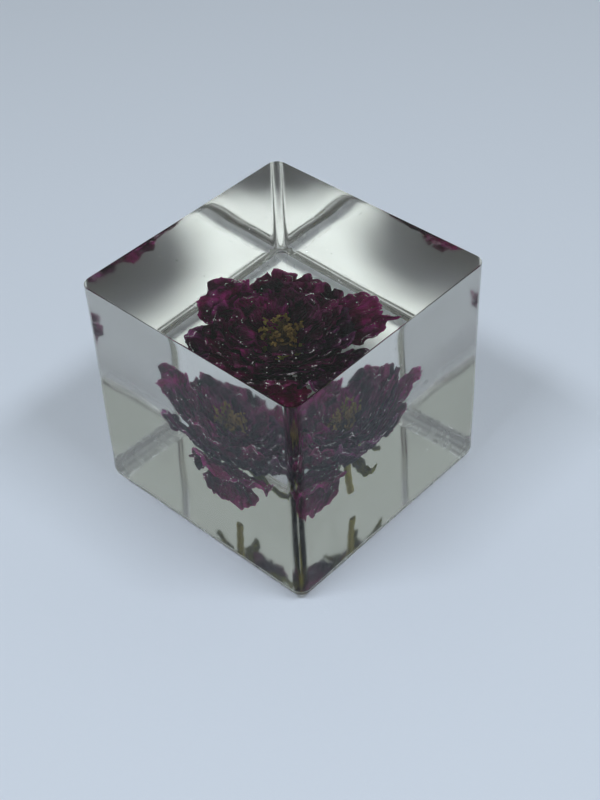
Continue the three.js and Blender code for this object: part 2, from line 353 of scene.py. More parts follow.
@dataclass(frozen=True)
class Crumpling:
    """Folds that shear space along one axis after another.

    Each shear moves a coordinate by an amount that the other two set and the distance from the
    heart scales. So neighbours that move in full stay clear of each other; near the hip, which is
    spared, they can touch.
    """

    folds: tuple[tuple[int, Crease], ...] = (
        (2, Crease(-0.66, 5.9, 24.0, 0.3)),
        (0, Crease(0.46, 5.1, 71.0, 1.9)),
        (1, Crease(-0.46, 4.8, 118.0, 2.6)),
        (2, Crease(0.36, 3.3, 133.0, 1.1)),
        (0, Crease(-0.20, 3.1, 12.0, 0.7)),
        (1, Crease(0.20, 2.9, 58.0, 2.2)),
        (2, Crease(-0.15, 1.9, 83.0, 0.2)),
        (0, Crease(0.07, 1.7, 140.0, 1.4)),
        (1, Crease(-0.07, 1.6, 35.0, 0.9)),
        (2, Crease(0.05, 1.2, 110.0, 0.5)),
    )
    bare_radius: tuple[float, float] = (1.6, 5.0)
    bare_height: tuple[float, float] = (3.0, 6.5)

    def lay(self, points: np.ndarray) -> tuple[np.ndarray, np.ndarray]:
        """Crumples points; the stem and the hip are spared.

        Args:
            points: The points, with x, y and z in the last axis.

        Returns:
            The moved points, and how far the folds lift each of them, in mm.
        """
        moved = points.copy()
        level = np.hypot(points[..., 0] - HEART[0], points[..., 1] - HEART[1])
        share = np.maximum(
            fade(level, *self.bare_radius),
            fade(points[..., 2] - HEART[2], *self.bare_height),
        )
        lifted = np.zeros_like(level)
        for axis, crease in self.folds:
            first, second = moved[..., (axis + 1) % 3], moved[..., (axis + 2) % 3]
            lift = share * crease.over(first, second)
            moved[..., axis] += lift
            lifted += lift
        return moved, lifted


# Finishes


class Bench:
    """Adds shader nodes to a tree and links them."""

    def __init__(self, tree: bpy.types.NodeTree) -> None:
        """Starts on an empty tree."""
        self.tree = tree
        tree.nodes.clear()

    def add(self, kind: str, inputs: dict | None = None, **settings: object) -> bpy.types.Node:
        """Adds one node.

        Args:
            kind: The node's type.
            inputs: Values or output sockets for its inputs, by name or number.
            settings: Values for the node's own settings.

        Returns:
            The node.
        """
        node = self.tree.nodes.new(kind)
        for key, value in settings.items():
            setattr(node, key, value)
        for key, value in (inputs or {}).items():
            if isinstance(value, bpy.types.NodeSocket):
                self.tree.links.new(value, node.inputs[key])
            else:
                node.inputs[key].default_value = value
        return node

    def maths(self, work: str, *values: object) -> bpy.types.NodeSocket:
        """The result of one piece of arithmetic on numbers or sockets."""
        node = self.add("ShaderNodeMath", dict(enumerate(values)), operation=work)
        return node.outputs[0]

    def blend(self, share: object, first: object, second: object) -> bpy.types.NodeSocket:
        """A colour between two, by a share from 0 to 1."""
        node = self.add("ShaderNodeMix", {0: share, 6: first, 7: second}, data_type="RGBA")
        return node.outputs[2]

    def ramp(self, value: object, low: object, high: object, to: tuple = (0.0, 1.0)) -> object:
        """A smooth step of a value.

        Args:
            value: The number or socket that is read.
            low: Where the step starts, a number or a socket.
            high: Where it ends.
            to: What it gives at the start and at the end.

        Returns:
            The step's output socket.
        """
        inputs = {"Value": value, "From Min": low, "From Max": high}
        inputs |= {"To Min": to[0], "To Max": to[1]}
        node = self.add("ShaderNodeMapRange", inputs, interpolation_type="SMOOTHSTEP")
        return node.outputs[0]


    def bump(self, height: object, strength: float, distance: float) -> bpy.types.NodeSocket:
        """The normal that a height gives, with its strength and its distance in metres."""
        inputs = {"Height": height, "Strength": strength, "Distance": distance}
        return self.add("ShaderNodeBump", inputs).outputs[0]

    def surface(self, inputs: dict) -> bpy.types.NodeSocket:
        """A Principled surface with the given inputs."""
        return self.add("ShaderNodeBsdfPrincipled", inputs).outputs[0]

    def finish(self, **inputs: bpy.types.NodeSocket) -> None:
        """Sets what the material puts out, such as its Surface."""
        self.add("ShaderNodeOutputMaterial", inputs)


def effect(name: str, inputs: dict[str, float], outputs: tuple[str, ...]) -> tuple:
    """Starts a node group of numbers.

    Args:
        name: The group's name.
        inputs: Its inputs with their first values.
        outputs: Its outputs.

    Returns:
        The group, a bench on it, its input node and its output node.
    """
    group = bpy.data.node_groups.new(name, "ShaderNodeTree")
    for key, value in inputs.items():
        socket = group.interface.new_socket(key, in_out="INPUT", socket_type="NodeSocketFloat")
        socket.default_value = value
    for key in outputs:
        group.interface.new_socket(key, in_out="OUTPUT", socket_type="NodeSocketFloat")
    bench = Bench(group)
    return group, bench, bench.add("NodeGroupInput"), bench.add("NodeGroupOutput")


class Effects:
    """The effects that several finishes share, each a node group built once."""

    def __init__(self) -> None:
        """Builds the groups."""
        self.mottle = self._mottle()
        self.streaks = self._streaks()
        self.grain = self._grain()

    @staticmethod
    def _mottle() -> bpy.types.NodeTree:
        """Blotches that follow the object's own space."""
        group, bench, given, out = effect(
            "mottle", {"Scale": 300.0, "Low": 0.4, "High": 0.6, "Twist": 0.4}, ("Mask",)
        )
        place = bench.add("ShaderNodeTexCoord").outputs["Object"]
        noise = bench.add(
            "ShaderNodeTexNoise",
            {
                "Vector": place,
                "Scale": given.outputs["Scale"],
                "Detail": 4.0,
                "Roughness": 0.6,
                "Distortion": given.outputs["Twist"],
            },
        )
        mask = bench.ramp(noise.outputs[0], given.outputs["Low"], given.outputs["High"])
        bench.tree.links.new(mask, out.inputs["Mask"])
        return group

    @staticmethod
    def _streaks() -> bpy.types.NodeTree:
        """Fibres or veins that run along a leaf or a stem, from its own coordinates."""
        group, bench, given, out = effect(
            "streaks", {"Across": 30.0, "Along": 2.0, "Wander": 0.1}, ("Mask",)
        )
        place = bench.add("ShaderNodeUVMap", uv_map="place").outputs[0]
        bend = bench.add(
            "ShaderNodeTexNoise", {"Vector": place, "Scale": 5.0, "Detail": 2.0}
        ).outputs[0]
        bend = bench.maths("MULTIPLY", bench.maths("SUBTRACT", bend, 0.5), given.outputs["Wander"])
        parts = bench.add("ShaderNodeSeparateXYZ", {0: place})
        first = bench.maths(
            "MULTIPLY", bench.maths("ADD", parts.outputs[0], bend), given.outputs["Across"]
        )
        second = bench.maths("MULTIPLY", parts.outputs[1], given.outputs["Along"])
        joined = bench.add("ShaderNodeCombineXYZ", {0: first, 1: second})
        noise = bench.add(
            "ShaderNodeTexNoise",
            {"Vector": joined.outputs[0], "Scale": 1.0, "Detail": 3.0, "Roughness": 0.55},
        )
        bench.tree.links.new(bench.ramp(noise.outputs[0], 0.36, 0.64), out.inputs["Mask"])
        return group

    @staticmethod
    def _grain() -> bpy.types.NodeTree:
        """A fine pebbled height, for bump."""
        group, bench, given, out = effect("grain", {"Scale": 2500.0}, ("Height",))
        place = bench.add("ShaderNodeTexCoord").outputs["Object"]
        noise = bench.add(
            "ShaderNodeTexNoise", {"Vector": place, "Scale": given.outputs["Scale"], "Detail": 1.0}
        )
        bench.tree.links.new(noise.outputs[0], out.inputs["Height"])
        return group


def group_node(bench: Bench, group: bpy.types.NodeTree, **values: float) -> bpy.types.Node:
    """Places an effect in a material.

    Args:
        bench: The bench on the material's tree.
        group: The effect.
        values: The values of its inputs.

    Returns:
        The effect's node.
    """
    node = bench.add("ShaderNodeGroup", node_tree=group)
    for key, value in values.items():
        node.inputs[key].default_value = value
    return node


def start_material(name: str) -> tuple[bpy.types.Material, Bench]:
    """Starts a material.

    Args:
        name: The material's name.

    Returns:
        The material and a bench on its empty tree.
    """
    material = bpy.data.materials.new(name)
    material.use_nodes = True
    return material, Bench(material.node_tree)


Colour = tuple[float, float, float, float]


@dataclass(frozen=True)
class PetalFinish:
    """Dried petal: dark flesh, with a painted highlight on its raised folds and painted shade in
    its creases, that glows where light comes through it.
    """

    name: str
    dark: Colour
    flesh: Colour
    # The colour of the painted highlight on raised folds and rims.
    fold: Colour
    glow: Colour
    share_glow: float
    bloom: float
    rim: float = 0.6
    dust: Colour = (0.42, 0.26, 0.36, 1.0)

    def material(self, effects: Effects) -> bpy.types.Material:
        """Builds the material.

        Args:
            effects: The shared effects.

        Returns:
            The material.
        """
        material, bench = start_material(self.name)
        blotch = group_node(bench, effects.mottle, Scale=190.0, Low=0.36, High=0.60).outputs[0]
        fine = group_node(bench, effects.mottle, Scale=1500.0, Low=0.50, High=0.72).outputs[0]
        vein = group_node(bench, effects.streaks, Across=26.0, Along=2.2, Wander=0.22).outputs[0]
        mark = bench.add("ShaderNodeAttribute", attribute_name="mark").outputs["Fac"]
        # Painted light: raised folds are blended towards the fold colour as a painted highlight,
        # and sunk creases towards the dark colour as painted shade.
        raised = bench.ramp(mark, 0.50, 0.95)
        sunk = bench.ramp(mark, 0.46, 0.12)
        tone = bench.maths("MULTIPLY", blotch, bench.maths("MULTIPLY_ADD", vein, 0.6, 0.4))
        colour = bench.blend(tone, self.dark, self.flesh)
        colour = bench.blend(bench.maths("MULTIPLY", sunk, 0.75), colour, self.dark)
        wear_and_ridge_light = bench.maths("MULTIPLY", raised, bench.maths("MULTIPLY_ADD", vein, 0.5, 0.4))
        colour = bench.blend(wear_and_ridge_light, colour, self.fold)
        place = bench.add("ShaderNodeUVMap", uv_map="place").outputs[0]
        outward = bench.add("ShaderNodeSeparateXYZ", {0: place}).outputs[1]
        # The rim is blended towards the fold colour: partly the dried edge's own paler colour,
        # partly a painted highlight.
        rim = bench.maths("MULTIPLY", bench.ramp(outward, 0.93, 0.99), self.rim)
        rim = bench.maths("MULTIPLY", rim, blotch)
        colour = bench.blend(rim, colour, self.fold)
        dusty = bench.maths("MULTIPLY", fine, self.bloom)
        colour = bench.blend(dusty, colour, self.dust)
        height = bench.maths("MULTIPLY_ADD", vein, 0.6, fine)
        body = bench.surface(
            {
                "Base Color": colour,
                "Roughness": bench.maths("MULTIPLY_ADD", fine, 0.25, 0.32),
                "Specular IOR Level": 0.25,
                "Normal": bench.bump(height, 0.5, 0.0001),
            }
        )
        glow = bench.add(
            "ShaderNodeBsdfTranslucent", {"Color": bench.blend(tone, self.flesh, self.glow)}
        )
        mixed = bench.add(
            "ShaderNodeMixShader", {0: self.share_glow, 1: body, 2: glow.outputs[0]}
        )
        bench.finish(Surface=mixed.outputs[0])
        return material


@dataclass(frozen=True)
class PlantFinish:
    """Dried green or pollen: two tones in blotches and streaks over a fine grain."""

    name: str
    dark: Colour
    pale: Colour
    across: float
    along: float
    scale: float
    grain: float
    roughness: float = 0.6

    def material(self, effects: Effects) -> bpy.types.Material:
        """Builds the material.

        Args:
            effects: The shared effects.

        Returns:
            The material.
        """
        material, bench = start_material(self.name)
        blotch = group_node(bench, effects.mottle, Scale=self.scale, Low=0.35, High=0.65).outputs[0]
        streak = group_node(
            bench, effects.streaks, Across=self.across, Along=self.along, Wander=0.1
        ).outputs[0]
        grain = group_node(bench, effects.grain, Scale=self.grain).outputs[0]
        tone = bench.maths("MULTIPLY", bench.maths("ADD", blotch, streak), 0.5)
        height = bench.maths("ADD", streak, grain)
        body = bench.surface(
            {
                "Base Color": bench.blend(tone, self.dark, self.pale),
                "Roughness": bench.maths("MULTIPLY_ADD", grain, 0.1, self.roughness),
                "Specular IOR Level": 0.3,
                "Normal": bench.bump(height, 0.6, 0.0001),
            }
        )
        bench.finish(Surface=body)
        return material


@dataclass(frozen=True)
class AirFinish:
    """Air caught against the flower, drawn opaque: its silvery pale colour is a painted reflection
    and its glow a painted glint of the light that air in resin turns back.
    """

    name: str = "silver_air"
    bright: Colour = (0.92, 0.88, 0.93, 1.0)
    dull: Colour = (0.62, 0.42, 0.55, 1.0)
    metallic: float = 0.3
    painted_glint: float = 0.42

    def material(self, effects: Effects) -> bpy.types.Material:
        """Builds the material.

        Args:
            effects: The shared effects.

        Returns:
            The material.
        """
        material, bench = start_material(self.name)
        blotch = group_node(bench, effects.mottle, Scale=420.0, Low=0.4, High=0.6).outputs[0]
        grain = group_node(bench, effects.grain, Scale=5200.0).outputs[0]
        body = bench.surface(
            {
                "Base Color": bench.blend(blotch, self.dull, self.bright),
                "Metallic": self.metallic,
                "Roughness": bench.maths("MULTIPLY_ADD", grain, 0.15, 0.15),
                # Painted glint: the beads glow though they are no lamp.
                "Emission Color": self.bright,
                "Emission Strength": self.painted_glint,
                "Normal": bench.bump(grain, 0.3, 0.00005),
            }
        )
        bench.finish(Surface=body)
        return material


@dataclass(frozen=True)
class ResinFinish:
    """Clear casting resin: glossy where its mark is 1, satin at 0 and frosted below 0."""

    name: str = "clear_resin"
    ior: float = 1.5
    sheen: Colour = (0.45, 0.45, 0.45, 1.0)
    tint: Colour = (0.50, 0.45, 0.31, 1.0)
    density: float = 8.0
    satin: float = 0.06
    wear_and_ridge_light: float = 0.05

    def material(self, effects: Effects) -> bpy.types.Material:
        """Builds the material.

        Args:
            effects: The shared effects.

        Returns:
            The material.
        """
        material, bench = start_material(self.name)
        wear_and_ridge_light = group_node(bench, effects.mottle, Scale=120.0, Low=0.4, High=0.8, Twist=1.5)
        mark = bench.add("ShaderNodeAttribute", attribute_name="mark").outputs["Fac"]
        rough = bench.maths("MULTIPLY_ADD", wear_and_ridge_light.outputs[0], self.wear_and_ridge_light, self.satin)
        rough = bench.maths("MULTIPLY", rough, bench.maths("SUBTRACT", 1.0, mark))
        body = bench.surface(
            {
                "Base Color": (1.0, 1.0, 1.0, 1.0),
                "Roughness": rough,
                "IOR": self.ior,
                "Specular Tint": self.sheen,
                "Transmission Weight": 1.0,
            }
        )
        inside = bench.add(
            "ShaderNodeVolumeAbsorption", {"Color": self.tint, "Density": self.density}
        )
        bench.finish(Surface=body, Volume=inside.outputs[0])
        return material


class PetalTone(Enum):
    """The four tones of petal, from the middle of the flower outwards."""

    HEART = PetalFinish(
        "petal_near_black",
        (0.009, 0.003, 0.007, 1.0),
        (0.072, 0.004, 0.030, 1.0),
        (0.32, 0.040, 0.17, 1.0),
        (0.34, 0.010, 0.13, 1.0),
        0.26,
        0.12,
    )
    DEEP = PetalFinish(
        "petal_burgundy",
        (0.013, 0.003, 0.009, 1.0),
        (0.145, 0.004, 0.054, 1.0),
        (0.42, 0.040, 0.20, 1.0),
        (0.55, 0.012, 0.22, 1.0),
        0.34,
        0.12,
    )
    BRIGHT = PetalFinish(
        "petal_magenta",
        (0.055, 0.004, 0.026, 1.0),
        (0.215, 0.005, 0.088, 1.0),
        (0.60, 0.050, 0.34, 1.0),
        (0.80, 0.015, 0.38, 1.0),
        0.50,
        0.12,
    )
    DUSKY = PetalFinish(
        "petal_dusky",
        (0.012, 0.004, 0.013, 1.0),
        (0.088, 0.004, 0.048, 1.0),
        (0.36, 0.070, 0.26, 1.0),
        (0.42, 0.018, 0.24, 1.0),
        0.32,
        0.18,
    )


SEPAL_FINISH = PlantFinish(
    "sepal_olive", (0.07, 0.075, 0.012, 1.0), (0.30, 0.29, 0.06, 1.0), 9.0, 2.0, 300.0, 2600.0
)
STEM_FINISH = PlantFinish(
    "stem_straw", (0.24, 0.20, 0.035, 1.0), (0.66, 0.58, 0.13, 1.0), 14.0, 1.2, 260.0, 2600.0
)
CROWN_FINISH = PlantFinish(
    "crown_brown", (0.018, 0.007, 0.009, 1.0), (0.075, 0.030, 0.026, 1.0), 9.0, 3.0, 500.0, 3600.0
)
POLLEN_FINISH = PlantFinish(
    "pollen_ochre",
    (0.075, 0.034, 0.010, 1.0),
    (0.56, 0.34, 0.10, 1.0),
    3.0,
    3.0,
    700.0,
    5200.0,
    0.75,
)
FILAMENT_FINISH = PlantFinish(
    "filament_amber", (0.030, 0.014, 0.008, 1.0), (0.24, 0.14, 0.045, 1.0), 4.0, 1.0, 600.0, 4200.0
)


# Petals


@dataclass(frozen=True)
class Shell:
    """The bowl that every petal follows, as on the part's drawing."""

    claw: float = 4.0
    claw_spread: float = 12.0
    full_spread_at: float = 0.7
    full_open_at: float = 18.0
    rim_rounding: float = 0.24
    rim_ragged: tuple[float, float] = (0.035, 0.015)
    ripple: float = 0.8
    point_place: float = -0.5
    point_width: float = 0.17
    point_rise: float = 1.4
    waves: tuple[tuple[float, float, float, float], ...] = (
        (3.5, 2.0, 0.6, 0.0),
        (2.6, 5.0, -1.1, 0.16),
        (1.0, 9.0, 0.0, 0.5),
    )

    def common_wave(self, distance: np.ndarray, direction: np.ndarray) -> np.ndarray:
        """Waves that all petals share.

        Args:
            distance: How far each place is from the heart, in mm.
            direction: Its angle around the flower.

        Returns:
            How far they open each place, in degrees.
        """
        around = turned(direction)
        total = np.zeros_like(distance)
        for height, count, lead, outwards in self.waves:
            total += height * np.sin(count * around + lead + outwards * distance)
        return total * distance / self.full_open_at


@dataclass
class Petal:
    """One petal: where it points, how it opens, and how it is creased, torn and curled."""

    name: str
    toward: float
    base: float
    open: float
    reach: float
    spread: float
    phase: float
    point: float = 0.0
    tone: PetalTone = PetalTone.DEEP
    steps: tuple[int, int] = (38, 34)
    thickness: float = 0.13
    folds: float = 0.10
    flutter: float = 0.0
    curl: float = 55.0
    curl_length: float = 0.9
    tears: int = 2
    airy: float = 0.4
    own_raised: float = 0.225
    shell: Shell = field(default_factory=Shell)

    def _rim(self, across: np.ndarray) -> np.ndarray:
        """The petal's ragged and torn rim.

        Args:
            across: Places across the petal, from -1 to 1.

        Returns:
            How far the rim is from the heart at each, in mm.
        """
        shell = self.shell
        slow, quick = shell.rim_ragged
        shape = 1.0 - shell.rim_rounding * across**4
        shape += slow * np.sin(4.1 * across + self.phase)
        shape += quick * np.sin(9.0 * across - self.phase)
        shape += 0.006 * np.sin(21.0 * across + 2.0 * self.phase)
        for number in range(self.tears):
            place = math.sin(5.7 * number + 2.3 * self.phase) * 0.82
            width = 0.035 + 0.02 * math.sin(3.0 * number + self.phase)
            depth = 0.07 + 0.05 * math.sin(7.0 * number + self.phase)
            shape -= depth * np.maximum(0.0, 1.0 - np.abs(across - place) / width)
        return self.reach * shape

    def centre(self) -> tuple[np.ndarray, np.ndarray]:
        """The petal's middle surface before the common crumpling.

        Returns:
            The grid of points, and how far the petal's own folds lift each, in mm.
        """
        shell = self.shell
        across, along = leaf_places(self.steps)
        spike = np.exp(-(((across - shell.point_place) / shell.point_width) ** 2))
        length = self._rim(across) + self.point * spike
        rolled = self.curl_length * (0.65 + 0.35 * np.sin(6.3 * across + 3.0 * self.phase))
        start = 1.0 - np.minimum(0.3, rolled / (length - shell.claw))
        past = np.clip((along - start) / (1.0 - start), 0.0, 1.0)
        turn = turned(self.curl) * (0.6 + 0.4 * np.sin(4.0 * across - 2.0 * self.phase))
        flat = np.minimum(along, start)
        distance = shell.claw + (length - shell.claw) * flat
        safe = np.where(np.abs(turn) < 1e-3, 1e-3, turn)
        distance = distance + rolled * np.sin(past * safe) / safe
        outward = rolled * (1.0 - np.cos(past * safe)) / safe
        widen = np.sin(math.pi / 2.0 * np.minimum(1.0, along / shell.full_spread_at))
        spread = shell.claw_spread + (self.spread - shell.claw_spread) * widen
        direction = self.toward + across * spread
        bowl = np.sin(
            math.pi / 2.0
            * np.minimum(1.0, (distance - shell.claw) / (shell.full_open_at - shell.claw))
        )
        opening = self.base + (self.open - self.base) * bowl
        opening += shell.common_wave(distance, direction)
        opening += shell.ripple * along * np.sin(3.1 * across + 4.0 * along + self.phase)
        opening -= shell.point_rise * self.point * spike * along**3
        own = self._creases(across, along)
        opening += np.degrees((own + outward) / distance)
        return from_heart(distance, opening, direction), -own

    def _creases(self, across: np.ndarray, along: np.ndarray) -> np.ndarray:
        """The petal's own long folds, which fan out from its claw, and its fluttering rim.

        Args:
            across: Places across the petal, from -1 to 1.
            along: Places along it, from 0 at the claw to 1 at the rim.

        Returns:
            How far they push each place towards the middle of the flower or away from it, in mm.
        """
        bend = 0.25 * np.sin(5.0 * along + self.phase)
        fan = np.abs(np.sin(math.pi * (3.2 * across + bend) + self.phase))
        fine = np.abs(np.sin(math.pi * (8.3 * across - 1.5 * bend) + 2.0 * self.phase))
        lift = self.folds * np.sqrt(along) * (1.4 * fan + 0.6 * fine - 1.27)
        rim = self.flutter * along**3
        return lift + rim * np.sin(7.0 * across + 2.0 * along + 4.0 * self.phase)

    def surface(self, crumpling: Crumpling) -> tuple[np.ndarray, np.ndarray]:
        """The petal's middle surface as it lies in the block.

        Args:
            crumpling: The folds that all petals share.

        Returns:
            The grid of points, and how far the folds stand up at each, from 0 to 1.
        """
        grid, own = self.centre()
        moved, shared = crumpling.lay(grid)
        lift = self.own_raised * own / self.folds + RAISED_PER_MM * shared
        return moved, np.clip(RAISED_MIDDLE + lift, 0.0, 1.0)

    def build(self, crumpling: Crumpling, finishes: dict) -> bpy.types.Object:
        """Makes the petal in place of its solid.

        Args:
            crumpling: The folds that all petals share.
            finishes: The material of each tone.

        Returns:
            The petal.
        """
        grid, raised = self.surface(crumpling)
        across, along = leaf_places(self.steps)
        thin = np.sqrt(np.clip(1.0 - np.maximum(np.abs(across), along) ** 12, 0.03, 1.0))
        name, material = f"dried_{self.name}", finishes[self.tone]
        piece = leaf_piece(name, grid, raised, self.thickness * thin, material)
        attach(piece, "root")
        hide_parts(self.name)
        return piece


@dataclass
class Corolla:
    """All the petals: a spiral around the stamens and ten outer ones."""

    spiral_count: int = 26
    spiral_start: float = 40.0
    base: tuple[float, float] = (40.0, 100.0)
    open: tuple[float, float] = (37.0, 56.0)
    rim_height: tuple[float, float] = (9.6, 9.2)
    rim_varies: float = 0.5
    spread: tuple[float, float] = (19.0, 34.0)
    bright_toward: float = 200.0
    outer: tuple[tuple, ...] = (
        ("petal_point", 56.0, 104.0, 60.0, 20.5, 27.0, 5.0, PetalTone.BRIGHT),
        ("petal_left", 183.0, 104.0, 58.0, 20.3, 27.0, 0.0, PetalTone.BRIGHT),
        ("petal_front", 286.0, 104.0, 61.0, 18.8, 42.0, 0.0, PetalTone.DEEP),
        ("petal_back", 126.0, 107.0, 66.0, 18.0, 39.0, 0.0, PetalTone.DEEP),
        ("petal_front_left", 229.0, 108.0, 71.0, 17.4, 30.0, 0.0, PetalTone.DUSKY),
        ("petal_right", -4.0, 109.0, 67.0, 20.0, 32.0, 0.0, PetalTone.DUSKY),
        ("petal_back_low", 70.0, 113.0, 80.0, 15.0, 28.0, 0.0, PetalTone.DEEP),
        ("petal_front_low", 291.0, 111.5, 86.0, 17.6, 43.0, 0.0, PetalTone.BRIGHT),
        ("petal_left_low", 240.0, 114.0, 102.0, 12.8, 22.0, 0.0, PetalTone.HEART),
        ("petal_droop", 281.0, 117.5, 117.0, 15.0, 42.0, 0.0, PetalTone.BRIGHT),
    )

    def _tone(self, toward: float, number: int) -> PetalTone:
        """The tone of a spiral petal, brighter on the side of bright_toward.

        Args:
            toward: Where the petal points.
            number: Its place in the spiral.

        Returns:
            The tone.
        """
        away = abs((toward - self.bright_toward + 180.0) % 360.0 - 180.0)
        if away < 55.0:
            return (PetalTone.BRIGHT, PetalTone.DEEP)[number % 2]
        if away < 120.0:
            return (PetalTone.DEEP, PetalTone.HEART)[number % 2]
        return (PetalTone.HEART, PetalTone.DUSKY)[number % 2]

    def petals(self) -> list[Petal]:
        """Every petal, from the stamens outwards."""
        made = []
        for number in range(self.spiral_count):
            grown = number / (self.spiral_count - 1)
            opened = self.open[0] + (self.open[1] - self.open[0]) * grown
            height = self.rim_height[0] + (self.rim_height[1] - self.rim_height[0]) * grown
            height += self.rim_varies * math.sin(2.4 * number)
            made.append(
                Petal(
                    name=f"petal_{number + 1:02d}",
                    toward=self.spiral_start + GOLDEN_ANGLE * number,
                    base=self.base[0] + (self.base[1] - self.base[0]) * grown,
                    open=opened,
                    reach=height / math.cos(math.radians(opened)),
                    spread=self.spread[0] + (self.spread[1] - self.spread[0]) * grown,
                    phase=1.7 * number,
                    tone=self._tone(self.spiral_start + GOLDEN_ANGLE * number, number),
                    steps=(36, 32) if grown < 0.5 else (48, 42),
                )
            )
        for number, row in enumerate(self.outer):
            name, toward, base, opened, reach, spread, point, tone = row
            made.append(
                Petal(
                    name,
                    toward,
                    base,
                    opened,
                    reach,
                    spread,
                    2.3 * number,
                    point,
                    tone,
                    steps=(92, 66),
                    thickness=0.16,
                    folds=0.2,
                    flutter=0.3,
                    curl=110.0,
                    curl_length=1.3,
                    airy=1.0,
                )
            )
        return made


# Sepals, stem and stamens


@dataclass
class Sepal:
    """A narrow pointed leaf under the petals, with a rib and curled edges."""

    name: str
    toward: float
    open: float
    reach: float
    curl: float
    claw: float = 4.0
    half_width: tuple[float, float] = (1.1, 2.0)
    tip: float = 0.2
    cup: float = 4.0
    thickness: float = 0.28
    steps: tuple[int, int] = (17, 46)

    def build(self, crumpling: Crumpling, material: bpy.types.Material) -> bpy.types.Object:
        """Makes the sepal in place of its solid.

        Args:
            crumpling: The folds that the whole flower shares.
            material: The sepal's finish.

        Returns:
            The sepal.
        """
        across, along = leaf_places(self.steps)
        distance = self.claw + (self.reach - self.claw) * along
        taper = np.maximum(self.tip * (1.0 - fade(along, 0.9, 1.0)), np.sqrt(1.0 - along**2))
        taper = np.maximum(taper, 0.04)
        foot, end = self.half_width
        half = (foot + (end - foot) * along) * taper
        half *= 1.0 + 0.08 * np.sin(31.0 * along + self.toward) * np.abs(across)
        spread = np.degrees(half / distance)
        rib = -0.16 * np.exp(-((across / 0.16) ** 2)) + 0.05 * np.sin(11.0 * along + 3.0 * across)
        opening = self.open + self.curl * along**2 - self.cup * across**2
        opening = opening - np.degrees(rib / distance)
        grid, lifted = crumpling.lay(from_heart(distance, opening, self.toward + across * spread))
        raised = np.clip(RAISED_MIDDLE + RAISED_PER_MM * lifted, 0.0, 1.0)
        thin = np.sqrt(np.clip(1.0 - np.maximum(np.abs(across), along) ** 8, 0.06, 1.0))
        piece = leaf_piece(f"dried_{self.name}", grid, raised, self.thickness * thin, material)
        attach(piece, "root")
        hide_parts(self.name)
        return piece


@dataclass
class Calyx:
    """The five sepals: where each points, its opening, its length and its curl."""

    rows: tuple[tuple[float, float, float, float], ...] = (
        (3.0, 120.0, 15.0, -17.0),
        (82.0, 126.0, 10.8, 4.0),
        (150.0, 120.0, 10.0, -12.0),
        (214.0, 124.0, 9.0, -6.0),
        (294.0, 132.0, 8.0, 0.0),
    )

    def sepals(self) -> list[Sepal]:
        """Every sepal, in the order of the solids."""
        return [Sepal(f"sepal_{number + 1}", *row) for number, row in enumerate(self.rows)]


@dataclass
class Stem:
    """The hip, a ribbed ball, with its short shrunken stem and the cut end."""

    radius: float = 0.85
    hip_radius: float = 3.5
    foot_height: float = 3.6
    lean: tuple[float, float] = (0.1, 0.7)
    sides: int = 48
    ribs: int = 7
    crown_from: float = 1.4

    def build(self, materials: list) -> bpy.types.Object:
        """Makes the stem and hip in place of their solid.

        Args:
            materials: The finish of the stem and hip, and that of the crown under the stamens.

        Returns:
            The stem with the hip.
        """
        drop = HEART[2] - self.foot_height
        low = np.concatenate(
            ((-drop, -drop, -drop + 0.06), np.linspace(-drop + 0.25, -self.hip_radius - 0.9, 40))
        )
        thin = np.concatenate(((0.05, 0.78, 0.98), np.ones(40))) * self.radius
        shrunk = 0.08 * np.sin(np.linspace(0.0, 17.0, 40))
        thin[3:] *= 1.0 + shrunk - 0.06 * np.linspace(1.0, 0.0, 40)
        ball_angle = np.radians(np.linspace(-66.0, 89.0, 34))
        height = np.concatenate((low, self.hip_radius * np.sin(ball_angle)))
        radius = np.concatenate((thin, self.hip_radius * np.cos(ball_angle)))
        around = np.arange(self.sides) * (2.0 * math.pi / self.sides)
        level, turn = np.meshgrid(height, around, indexing="ij")
        wide = np.repeat(radius[:, None], self.sides, axis=1)
        wide = wide * (1.0 + 0.05 * np.sin(self.ribs * turn + 0.4 * level) * (wide > 0.5))
        bend = (np.maximum(0.0, -level - self.hip_radius) / (drop - self.hip_radius)) ** 2
        grid = np.stack(
            (
                HEART[0] + wide * np.cos(turn) + self.lean[0] * bend,
                HEART[1] + wide * np.sin(turn) + self.lean[1] * bend,
                HEART[2] + level,
            ),
            axis=-1,
        )
        corners = np.vstack((grid.reshape(-1, 3), grid[0].mean(0), grid[-1].mean(0)))
        places = np.stack((turn / (2.0 * math.pi), level / 12.0), axis=-1).reshape(-1, 2)
        faces = closed_rings(*grid.shape[:2])
        crown_faces = (corners[faces[:, 0], 2] > HEART[2] + self.crown_from).astype(int)
        skin = Skin()
        skin.add(corners, faces, np.vstack((places, np.zeros((2, 2)))), slot=crown_faces)
        piece = skin.piece("dried_stem", materials)
        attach(piece, "root")
        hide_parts("stem")
        return piece


